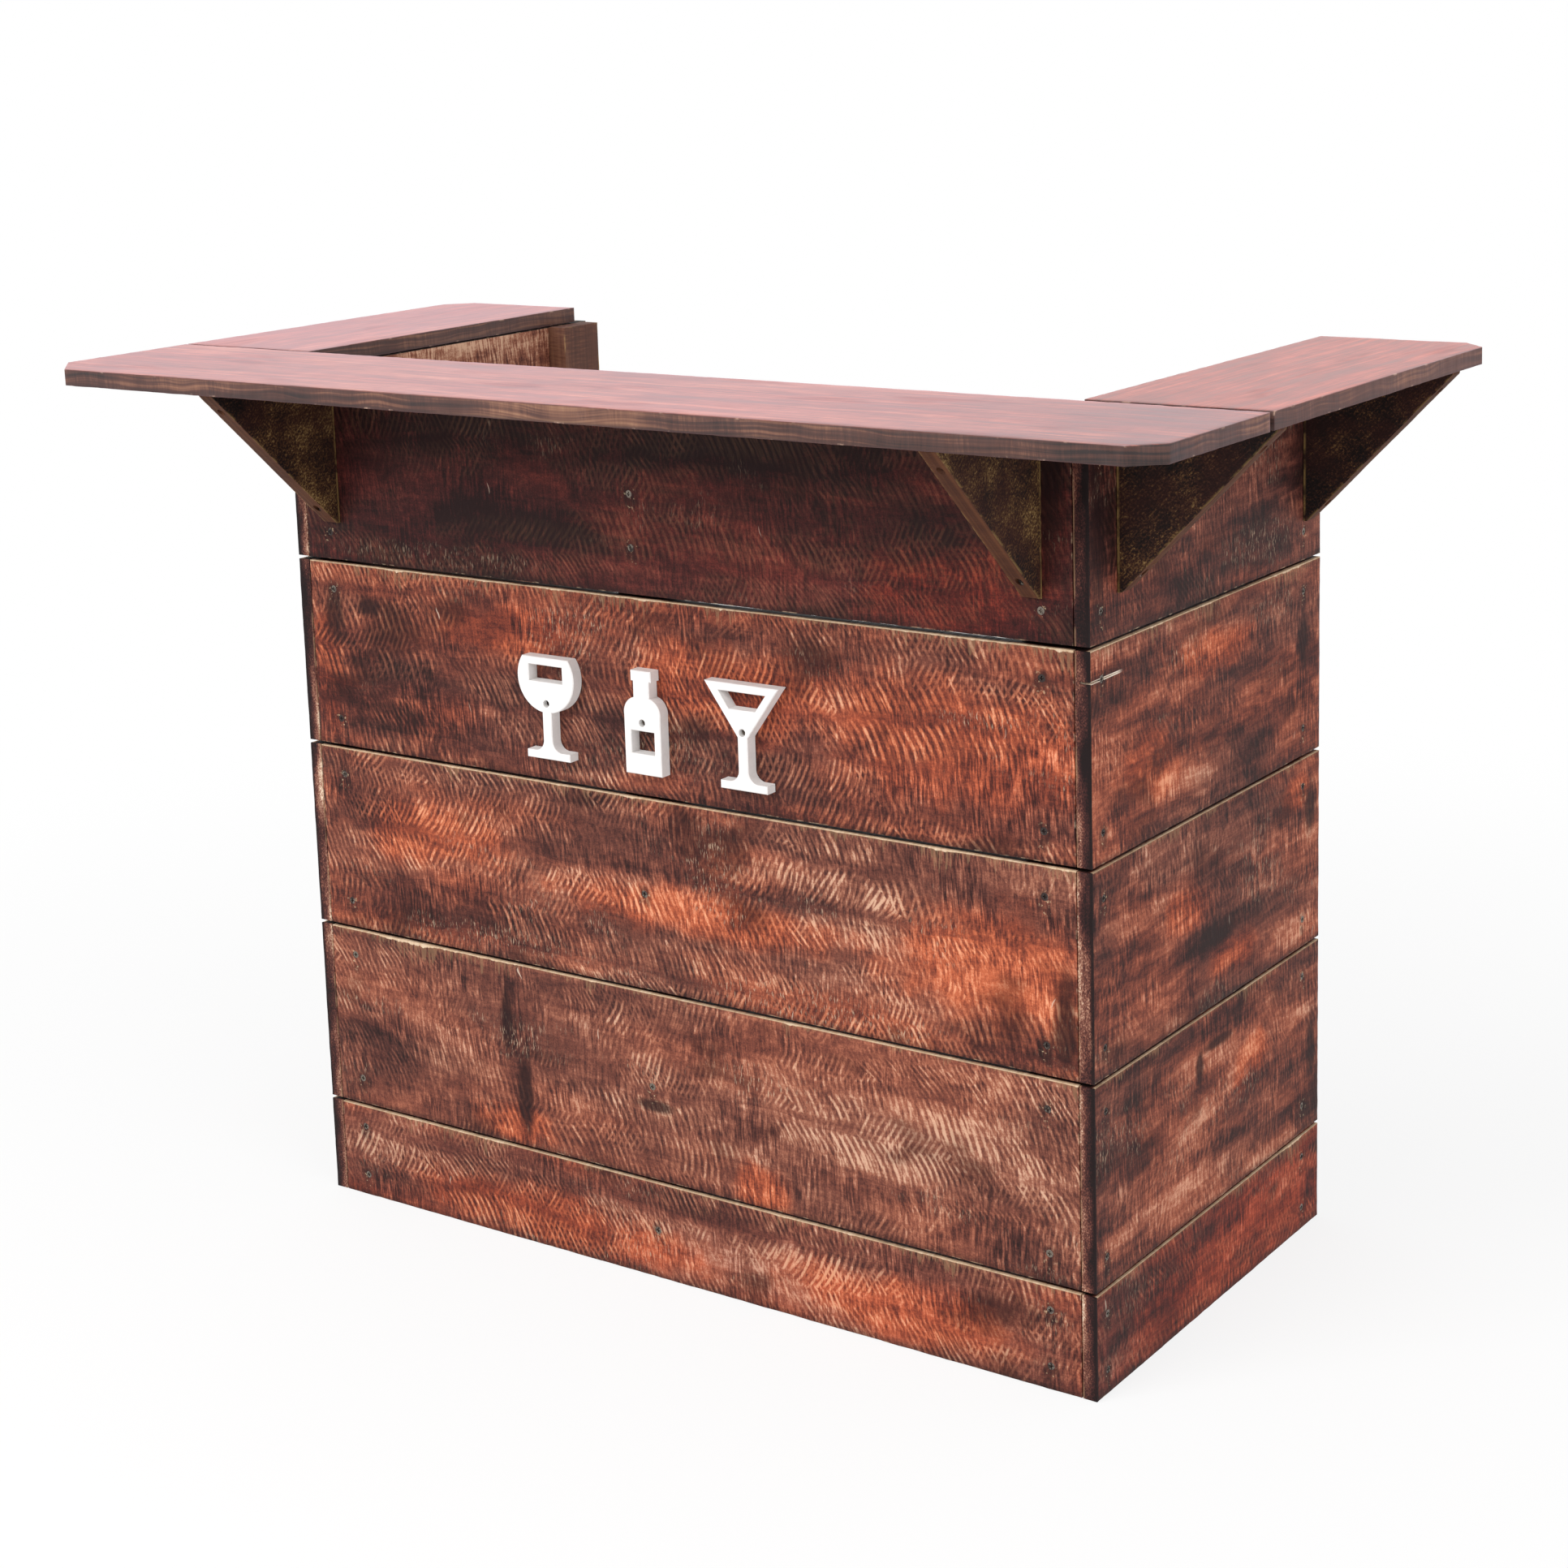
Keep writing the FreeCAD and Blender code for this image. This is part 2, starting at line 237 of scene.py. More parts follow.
def split_end(piece, node, height):
    """Long thin split at the front end of a side board, at a given height."""
    low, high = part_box(node)
    middle = Vector((high.x, low.y + crack_length / 2, height))
    bpy.ops.object.select_all(action="DESELECT")
    bpy.ops.mesh.primitive_cube_add(size=1.0, location=middle)
    wedge = bpy.context.object
    wedge.scale = (2 * crack_depth, crack_length, crack_width)
    bpy.ops.object.transform_apply(location=True, rotation=True, scale=True)
    for vertex in wedge.data.vertices:
        if vertex.co.y > middle.y:
            vertex.co.z = height
        else:
            vertex.co.y = low.y - crack_width
    cut_away(piece, [wedge])


def top_cuts(node, sides, ends):
    """Sawn-off corners of a top: one for each outer side and end given."""
    low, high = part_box(node)
    cuts = []
    for side in sides:
        for end in ends:
            x = high.x if side > 0 else low.x
            y = high.y if end > 0 else low.y
            clip = left_fore_clip if side < 0 and end < 0 else corner_clip
            cuts.append((Vector((x - side * clip, y, low.z)), Vector((side, end, 0.0))))
    return cuts


def bracket_cut(node, out_axis, out_sign):
    """Long slanted edge of a bracket, from its nose at the top to its nose on the panel."""
    low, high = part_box(node)
    tip = Vector((low + high) / 2)
    toe = tip.copy()
    outer, inner = (high, low) if out_sign > 0 else (low, high)
    tip[out_axis] = outer[out_axis]
    tip.z = high.z - bracket_nose
    toe[out_axis] = inner[out_axis] + out_sign * bracket_nose
    toe.z = low.z
    normal = Vector((0.0, 0.0, 0.0))
    normal[out_axis] = out_sign * (tip.z - toe.z)
    normal.z = -abs(tip[out_axis] - toe[out_axis])
    return tip, normal


# Node trees

class Wire:
    """A socket in a node tree that takes part in sums, which become Math nodes."""

    def __init__(self, tree, socket):
        self.tree = tree
        self.socket = socket

    def math(self, operation, *others):
        node = self.tree.nodes.new("ShaderNodeMath")
        node.operation = operation
        for socket, value in zip(node.inputs, (self,) + others):
            connect(self.tree, socket, value)
        return Wire(self.tree, node.outputs[0])

    def __add__(self, other):
        return self.math("ADD", other)

    def __sub__(self, other):
        return self.math("SUBTRACT", other)

    def __mul__(self, other):
        return self.math("MULTIPLY", other)

    def __truediv__(self, other):
        return self.math("DIVIDE", other)

    def at_least(self, other):
        return self.math("MAXIMUM", other)

    def at_most(self, other):
        return self.math("MINIMUM", other)

    def step(self, start, end, low=0.0, high=1.0):
        """Smooth step from low to high while the value goes from start to end."""
        node = put(self.tree, "ShaderNodeMapRange", {
            "Value": self, "From Min": start, "From Max": end, "To Min": low, "To Max": high})
        node.interpolation_type = "SMOOTHSTEP"
        return Wire(self.tree, node.outputs[0])


def connect(tree, socket, value):
    if isinstance(value, Wire):
        tree.links.new(value.socket, socket)
    else:
        socket.default_value = value


def put(tree, kind, inputs=None, **settings):
    """Adds a node with its settings, and gives its inputs values or wires."""
    node = tree.nodes.new(kind)
    for name, value in settings.items():
        setattr(node, name, value)
    for name, value in (inputs or {}).items():
        connect(tree, node.inputs[name], value)
    return node


def vector(tree, x=0.0, y=0.0, z=0.0):
    return Wire(tree, put(tree, "ShaderNodeCombineXYZ", {0: x, 1: y, 2: z}).outputs[0])


def noise(tree, place, scale, detail=3.0, roughness=0.55, distortion=0.0):
    node = put(tree, "ShaderNodeTexNoise", {
        "Vector": place, "Scale": scale, "Detail": detail, "Roughness": roughness,
        "Distortion": distortion})
    return Wire(tree, node.outputs[0])


def white_noise(tree, place):
    """Three random shares for each place."""
    return split(tree, Wire(tree, put(tree, "ShaderNodeTexWhiteNoise", {"Vector": place}).outputs["Color"]))


def blend(tree, amount, first, second, kind="MIX"):
    node = put(tree, "ShaderNodeMix", data_type="RGBA", blend_type=kind, clamp_factor=True)
    connect(tree, node.inputs[0], amount)
    connect(tree, node.inputs[6], first)
    connect(tree, node.inputs[7], second)
    return Wire(tree, node.outputs[2])


def colour(red, green, blue):
    """Colour from its screen values, 0 to 255."""
    def linear(value):
        share = value / 255
        return share / 12.92 if share <= 0.04045 else ((share + 0.055) / 1.055) ** 2.4
    return (linear(red), linear(green), linear(blue), 1.0)


def ramp(tree, value, stops):
    """Colour ramp from pairs of place and colour."""
    node = put(tree, "ShaderNodeValToRGB", {0: value})
    elements = node.color_ramp.elements
    while len(elements) < len(stops):
        elements.new(0.5)
    for element, (place, shade) in zip(elements, stops):
        element.position = place
        element.color = shade
    return Wire(tree, node.outputs[0])


def new_group(name, inputs, outputs):
    """Shader group with float or vector inputs and float outputs."""
    tree = bpy.data.node_groups.new(name, "ShaderNodeTree")
    for socket in inputs:
        kind = "NodeSocketVector" if socket in ("Place", "Middle", "Half") else "NodeSocketFloat"
        tree.interface.new_socket(socket, in_out="INPUT", socket_type=kind)
    for socket in outputs:
        tree.interface.new_socket(socket, in_out="OUTPUT", socket_type="NodeSocketFloat")
    entry = tree.nodes.new("NodeGroupInput")
    wires = {socket: Wire(tree, entry.outputs[socket]) for socket in inputs}
    return tree, wires, tree.nodes.new("NodeGroupOutput")


def use_group(tree, group, inputs):
    node = put(tree, "ShaderNodeGroup", node_tree=group)
    for name, value in inputs.items():
        connect(tree, node.inputs[name], value)
    return {socket.name: Wire(tree, socket) for socket in node.outputs}


def split(tree, place):
    node = put(tree, "ShaderNodeSeparateXYZ", {0: place})
    return [Wire(tree, socket) for socket in node.outputs]


# Effects that several finishes share

def make_sander_lanes():
    """Strokes of a disc sander: slanted arcs side by side, in lanes that run along the board.
    A lane is broken into stretches, and some of those lean the other way."""
    tree, given, result = new_group(
        "sander_lanes", ["Along", "Across", "Seed", "Length", "Width", "Spacing", "Lean", "Bow"],
        ["Stroke", "Cover", "Swath"])
    along, across, seed = given["Along"], given["Across"], given["Seed"]
    board = vector(tree, along, across, seed)
    wander = noise(tree, board, 7.0, detail=2.0) - 0.5
    level = across / given["Width"] + wander * 1.1 + seed
    lane = level.math("FLOOR")
    share = level - lane - 0.5
    shift = white_noise(tree, vector(tree, lane, seed))[0]
    stretch = (along / given["Length"] + shift * 9.0 + share * 0.25).math("FLOOR")
    turn, pace, tint = white_noise(tree, vector(tree, lane, stretch, seed))
    lean = given["Lean"] * turn.step(0.26, 0.30, -1.0, 1.0) + (pace - 0.5) * 0.4
    height = share * given["Width"]
    arc = height * lean + height * height * given["Bow"]
    jitter = noise(tree, board, 75.0, detail=2.0) - 0.5
    phase = (along + arc) / given["Spacing"] * (pace * 0.3 + 0.85) + jitter * 0.32
    strength = white_noise(tree, vector(tree, phase.math("FLOOR"), lane, seed))[0]
    wave = ((phase * (2 * math.pi)).math("SINE") * 0.5 + 0.5).step(0.22, 0.98)
    within = (share.math("ABSOLUTE") + strength * 0.16).step(0.56, 0.36)
    fade = noise(tree, board, 19.0, detail=4.0).step(0.28, 0.60)
    cover = within * fade
    tree.links.new((wave * (strength * 0.6 + 0.4) * cover).socket, result.inputs["Stroke"])
    tree.links.new(cover.socket, result.inputs["Cover"])
    tree.links.new(tint.socket, result.inputs["Swath"])
    return tree


def make_saw_marks():
    """Fine upright lines left by the saw, square to the board, in patches."""
    tree, given, result = new_group("saw_marks", ["Along", "Across", "Seed"], ["Mark"])
    along, across, seed = given["Along"], given["Across"], given["Seed"]
    bow = noise(tree, vector(tree, along, across, seed), 6.0, detail=2.0) * 0.02
    lines = noise(tree, vector(tree, (along + across * 0.05 + bow) * 290.0, across * 30.0, seed), 1.0,
                  detail=2.0, roughness=0.7)
    patches = noise(tree, vector(tree, along, across, seed + 2.0), 18.0, detail=3.0)
    mark = (lines.step(0.30, 0.72) - 0.5) * patches.step(0.34, 0.62, 0.18, 1.0) + 0.5
    tree.links.new(mark.socket, result.inputs["Mark"])
    return tree


def make_edge_distance():
    """Distance of a point on a plank's surface to the nearest edge of its box."""
    tree, given, result = new_group("edge_distance", ["Place", "Middle", "Half"], ["Distance"])
    offset = put(tree, "ShaderNodeVectorMath", {0: given["Place"], 1: given["Middle"]},
                 operation="SUBTRACT")
    size = put(tree, "ShaderNodeVectorMath", {0: Wire(tree, offset.outputs[0])}, operation="ABSOLUTE")
    rest = put(tree, "ShaderNodeVectorMath", {0: given["Half"], 1: Wire(tree, size.outputs[0])},
               operation="SUBTRACT")
    x, y, z = split(tree, Wire(tree, rest.outputs[0]))
    second = x.at_most(y).at_least(x.at_least(y).at_most(z))
    tree.links.new(second.socket, result.inputs["Distance"])
    return tree


def make_soft_patch():
    """Oval patch with a ragged edge: 1 in the middle, 0 outside."""
    tree, given, result = new_group(
        "soft_patch", ["Along", "Across", "Middle along", "Middle across", "Reach along", "Reach across"],
        ["Patch"])
    place = vector(tree, given["Along"], given["Across"], given["Middle along"])
    ragged = noise(tree, place, 14.0, detail=4.0, roughness=0.65) - 0.5
    x = (given["Along"] - given["Middle along"]) / given["Reach along"]
    y = (given["Across"] - given["Middle across"]) / given["Reach across"]
    radius = (x * x + y * y).math("SQRT") + ragged * 1.3
    tree.links.new(radius.step(1.0, 0.35).socket, result.inputs["Patch"])
    return tree


sander_lanes = make_sander_lanes()
saw_marks = make_saw_marks()
edge_distance = make_edge_distance()
soft_patch = make_soft_patch()
wide_lanes = {"Length": 0.26, "Width": 0.054, "Spacing": 0.0092, "Lean": 0.60, "Bow": 4.5}
narrow_lanes = {"Length": 0.17, "Width": 0.040, "Spacing": 0.0076, "Lean": 0.45, "Bow": 5.0}


def sanded_lanes(tree, along, across, seed, lanes):
    return use_group(tree, sander_lanes, dict(lanes, Along=along, Across=across, Seed=seed))


def sawn(tree, along, across, seed):
    return use_group(tree, saw_marks, {"Along": along, "Across": across, "Seed": seed})["Mark"]


def distance_to_edge(tree, place, low, high):
    return use_group(tree, edge_distance, {
        "Place": place, "Middle": (low + high) / 2, "Half": (high - low) / 2})["Distance"]


# Finishes

def new_material(name):
    """Empty material with its shader, its output and the wires of the object's coordinates."""
    material = bpy.data.materials.new(name)
    material.use_nodes = True
    tree = material.node_tree
    tree.nodes.clear()
    shader = tree.nodes.new("ShaderNodeBsdfPrincipled")
    output = tree.nodes.new("ShaderNodeOutputMaterial")
    tree.links.new(shader.outputs[0], output.inputs[0])
    place = Wire(tree, tree.nodes.new("ShaderNodeTexCoord").outputs["Object"])
    return material, tree, shader, place


def relief(tree, shader, height, depth, strength=1.0):
    bump = put(tree, "ShaderNodeBump", {"Strength": strength, "Distance": depth, "Height": height})
    tree.links.new(bump.outputs[0], shader.inputs["Normal"])


brown_stain = (
    (0.00, colour(36, 18, 17)), (0.25, colour(70, 39, 34)), (0.50, colour(112, 66, 53)),
    (0.72, colour(154, 100, 78)), (1.00, colour(212, 170, 142)))
orange_stain = (
    (0.00, colour(44, 18, 16)), (0.25, colour(90, 42, 33)), (0.50, colour(144, 71, 48)),
    (0.72, colour(194, 104, 68)), (1.00, colour(236, 164, 124)))
raw_wood = (
    (0.00, colour(120, 92, 70)), (0.45, colour(196, 166, 134)), (1.00, colour(238, 218, 194)))
end_grain = (
    (0.00, colour(24, 12, 13)), (0.35, colour(62, 32, 30)), (0.60, colour(112, 66, 54)),
    (0.82, colour(170, 126, 104)), (1.00, colour(226, 202, 176)))

thick_stain = colour(62, 20, 18)
thick_stain_cover = colour(58, 22, 20)
steeped_stain = colour(229, 181, 194)
steeped_stroke = colour(112, 80, 54)
spill_stain_and_shadow = colour(32, 13, 14)
screw_smudge = colour(36, 17, 16)
chipped_wood = colour(210, 182, 146)
bare_fuzz = colour(208, 178, 150)
bare_tick = colour(208, 184, 164)
seam_shade_and_stain = colour(26, 15, 13)
bare_fringe = colour(142, 108, 80)
lower_edge_shade_and_stain = colour(28, 15, 14)
fresh_split = colour(232, 216, 198)
end_rim = colour(24, 12, 13)
end_joint = colour(150, 116, 88)
board_tone = 0.365             # places on the stain's ramp, from dark to pale
inner_side_tone = 0.36
end_grain_tone = -1.64


def stained_board(name, box, along_axis, seed, outer, warmth, light, steeped, sanding=1.0, cloudy=1.0,
                  sawing=1.0, smeared=0.3, raw_line=1.0, warm=(), dark=(), pale=(), fuzzy=(), spills_and_shadow=(),
                  screws=(), end_y=None, end_light=0.0, crack_height=None):
    """Rough-sawn board, sanded in swathes and stained red-brown, paler on the counter's inner side.
    Patches are given as place along, share across, reach along and reach across.
    The outer face is given as its axis, its place and the sign of the way into the board.
    A board with its front end in view also has that end's place, end_y."""
    low, high = box
    width = high.z - low.z
    thickness = high[outer[0]] - low[outer[0]]
    material, tree, shader, place = new_material(name)
    x, y, z = split(tree, place)
    along = x if along_axis == 0 else y
    across = z
    depth = ([x, y, z][outer[0]] - outer[1]) * outer[2]

    def patches(rows):
        total = None
        for u, share, reach_u, reach_v in rows:
            found = use_group(tree, soft_patch, {
                "Along": along, "Across": across, "Middle along": u, "Middle across": low.z + share * width,
                "Reach along": reach_u, "Reach across": reach_v})["Patch"]
            total = found if total is None else total.at_least(found)
        return total

    board_place = vector(tree, along, across, seed)
    stretched = vector(tree, along * 0.36, across, seed)
    clouds = noise(tree, stretched, 13.0, detail=8.0, roughness=0.68, distortion=0.5)
    blotches = noise(tree, stretched, 40.0, detail=7.0, roughness=0.72, distortion=1.1)
    inner = depth.step(thickness - skin, thickness - skin / 2)
    outside = inner * -1.0 + 1.0
    sanded = noise(tree, stretched, 9.0, detail=4.0, distortion=0.9).step(0.36, 0.55) * outside
    sanded = sanded * sanding
    wide = sanded_lanes(tree, along, across, seed, wide_lanes)
    narrow = sanded_lanes(tree, along, across, seed + 3.7, narrow_lanes)
    saw = sawn(tree, along, across, seed)
    strokes = wide["Stroke"].at_least(narrow["Stroke"] * 0.8) * sanded
    furrows = wide["Cover"].at_least(narrow["Cover"]) * sanded
    grain = noise(tree, vector(tree, along * 18.0, across * 240.0, seed), 1.0, detail=3.0)
    smudges = noise(tree, vector(tree, along * 0.22, across, seed + 6.0), 34.0, detail=4.0, roughness=0.6)
    flecks = noise(tree, vector(tree, along, across * 0.7, seed), 165.0, detail=4.0, roughness=0.7)
    speck = noise(tree, board_place, 520.0, detail=2.0)
    tone = (clouds - 0.5) * (0.80 * cloudy) + (blotches - 0.5) * 0.58 + board_tone + light
    tone = tone + (wide["Swath"] - 0.5) * 0.14 + strokes * 0.60 - furrows * 0.10
    tone = tone + (flecks - 0.5) * 0.50 + (saw - 0.5) * (sanded * -0.30 + 0.64) * sawing - 0.01
    tone = tone + (grain - 0.5) * 0.24 + (speck - 0.5) * 0.42 + (smudges - 0.5) * smeared
    tone = tone + inner * (inner_side_tone - light)
    # Dark patches: darker stain, and on the highest front board also painted shade under the top's overhang
    if dark:
        tone = tone - patches(dark) * 0.18
    if pale:
        tone = tone + patches(pale) * 0.15
    brown = ramp(tree, tone, brown_stain)
    orange = ramp(tree, tone, orange_stain)
    warm_cloud = noise(tree, stretched, 6.5, detail=3.0).step(0.40, 0.62) * warmth
    if warm:
        warm_cloud = warm_cloud.at_least(patches(warm))
    shade = blend(tree, warm_cloud * (inner * -0.9 + 1.0), brown, orange)

    # Dark red runs of thick stain
    runs = noise(tree, vector(tree, along * 0.6, across, seed + 8.0), 10.0, detail=3.0).step(0.56, 0.72)
    shade = blend(tree, runs * 0.55, shade, thick_stain, "MULTIPLY")
    shade = blend(tree, runs * 0.35, shade, thick_stain_cover)
    if steeped:
        between = (strokes * -0.9 + 1.0) * outside
        shade = blend(tree, between * steeped, shade, steeped_stain, "MULTIPLY")
        shade = blend(tree, strokes * steeped * 0.55, shade, steeped_stroke)
    # Dark spills of stain; the patch beside the front right bracket is painted shadow of that bracket
    if spills_and_shadow:
        shade = blend(tree, patches(spills_and_shadow) * outside * 0.85, shade, spill_stain_and_shadow)
    halo = None
    for seat, _ in screws:
        sideways = along - seat[along_axis]
        above = across - seat.z
        hanging = above.at_least(0.0) + above.at_most(0.0) * 0.45
        ring = (sideways * sideways + hanging * hanging).math("SQRT").step(0.0125, 0.0050)
        halo = ring if halo is None else halo.at_least(ring)
    if halo is not None:
        smudge = noise(tree, board_place, 55.0, detail=3.0)
        shade = blend(tree, halo * smudge.step(0.35, 0.60) * 0.65, shade, screw_smudge)
        chip = noise(tree, board_place, 210.0, detail=3.0).step(0.60, 0.66)
        shade = blend(tree, halo * chip * 0.50, shade, chipped_wood)

    # Pale upright fibres that the stain has missed
    fuzz_place = noise(tree, vector(tree, along * 0.5, across, seed + 5.0), 13.0, detail=5.0)
    fuzz_place = fuzz_place.step(0.55, 0.70)
    if fuzzy:
        fuzz_place = fuzz_place.at_least(patches(fuzzy))
    curl = noise(tree, board_place, 110.0, detail=1.0) * 2.6
    fuzz = noise(tree, vector(tree, along * 640.0 + curl, across * 95.0, seed), 1.0, detail=3.0)
    fuzz = fuzz.step(0.56, 0.70) * fuzz_place
    shade = blend(tree, fuzz * (0.72 - 0.40 * steeped), shade, bare_fuzz)
    wiggle = noise(tree, board_place, 34.0, detail=1.0) * 2.4
    ticks = put(tree, "ShaderNodeTexVoronoi", {
        "Vector": vector(tree, along * 95.0 + wiggle, across * 11.0, seed), "Scale": 1.0})
    lucky = split(tree, Wire(tree, ticks.outputs["Color"]))[0].step(0.93, 0.95)
    tick = Wire(tree, ticks.outputs["Distance"]).step(0.09, 0.05) * lucky
    shade = blend(tree, tick * (0.75 - 0.25 * steeped), shade, bare_tick)

    # Raw wood along the outer upper edge; deeper in the seams darker, partly stain and partly painted shade
    waver = noise(tree, vector(tree, along, seed), 9.0, detail=5.0, roughness=0.7)
    splinter = noise(tree, vector(tree, along * 260.0, across * 22.0, seed), 1.0, detail=2.0)
    from_top = (across * -1.0) + high.z
    on_top = from_top.step(0.0022, 0.0012)
    # painted shade in the depth of the seam, over darker stain
    shade = blend(tree, on_top * depth.step(0.003, 0.008), shade, seam_shade_and_stain)
    hairs = noise(tree, vector(tree, along * 400.0, across * 26.0, seed + 4.0), 1.0, detail=3.0)
    fringe = (from_top - waver.step(0.44, 0.66) * 0.030 * hairs.step(0.42, 0.70)).step(0.0030, 0.0010)
    shade = blend(tree, fringe * depth.step(0.003, 0.002) * 0.50, shade, bare_fringe)
    worn_top = from_top - waver.step(0.50, 0.78) * 0.008 * splinter
    worn_top = worn_top.step(0.0021 * raw_line, 0.0011 * raw_line)
    worn_top = worn_top * depth.step(0.006 * raw_line, 0.003 * raw_line)
    from_low = across - low.z
    # Darker along each board's lower edge: darker stain and painted shade from the seam below
    shade = blend(tree, from_low.step(0.010, 0.0) * 0.55, shade, lower_edge_shade_and_stain)
    raw = ramp(tree, splinter * 0.6 + waver * 0.4, raw_wood)
    shade = blend(tree, worn_top * (waver.step(0.30, 0.48) * 0.5 + 0.5), shade, raw)
    edge = distance_to_edge(tree, place, low, high)
    rub = edge.step(0.0022, 0.0008) * noise(tree, board_place, 70.0, detail=4.0).step(0.54, 0.68)
    shade = blend(tree, rub * 0.5, shade, raw)
    if crack_height is not None:
        split_line = (z - crack_height).math("ABSOLUTE").step(0.0019, 0.0013)
        split_line = split_line * y.step(low.y + crack_length, low.y + crack_length * 0.8)
        shade = blend(tree, split_line * 0.9, shade, fresh_split)
    if end_y is not None:
        on_end = y.step(end_y + 0.0036, end_y + 0.0022)
        waver_up = noise(tree, vector(tree, across * 30.0, seed), 1.0, detail=4.0) * 1.3 - 0.35
        pores = noise(tree, vector(tree, x * 800.0, z * 420.0, seed), 1.0, detail=2.0, roughness=0.7)
        bands = noise(tree, vector(tree, x * 60.0, z * 14.0, seed), 1.0, detail=4.0)
        end_tone = pores * 1.3 + bands * 2.0 + depth * (0.6 / thickness) + end_grain_tone + end_light
        end_shade = ramp(tree, end_tone, end_grain)
        rim = depth.step(thickness * 0.28, thickness * 0.10)
        end_shade = blend(tree, rim * 0.85, end_shade, end_rim)
        joint = depth.step(thickness - 0.0030, thickness - 0.0018)
        end_shade = blend(tree, joint * waver_up.step(0.20, 0.45) * 0.6, end_shade, end_joint)
        shade = blend(tree, on_end, shade, end_shade)
    tree.links.new(shade.socket, shader.inputs["Base Color"])
    rough = strokes * -0.12 + 0.66 + (clouds - 0.5) * 0.2
    tree.links.new(rough.socket, shader.inputs["Roughness"])
    shader.inputs["Specular IOR Level"].default_value = 0.18
    height = strokes * 0.8 + saw * 0.30 + speck * 0.25 + grain * 0.2
    relief(tree, shader, height, 0.0009, 0.7)
    return material


top_stain = (
    (0.00, colour(54, 21, 17)), (0.28, colour(98, 44, 34)), (0.50, colour(140, 71, 54)),
    (0.72, colour(180, 104, 80)), (1.00, colour(220, 160, 130)))
edge_stain = (
    (0.00, colour(32, 17, 15)), (0.35, colour(76, 44, 35)), (0.62, colour(122, 82, 62)),
    (1.00, colour(178, 138, 104)))

top_red = colour(186, 88, 58)
top_pale_grain_and_highlight = colour(212, 160, 138)
top_dull = colour(104, 48, 42)
top_lower_edge = colour(30, 15, 15)
top_worn_edge = colour(66, 34, 32)
top_chip = colour(196, 160, 138)
pink = colour(255, 194, 208)   # light that the varnish throws back at a low angle
coral = colour(255, 172, 170)


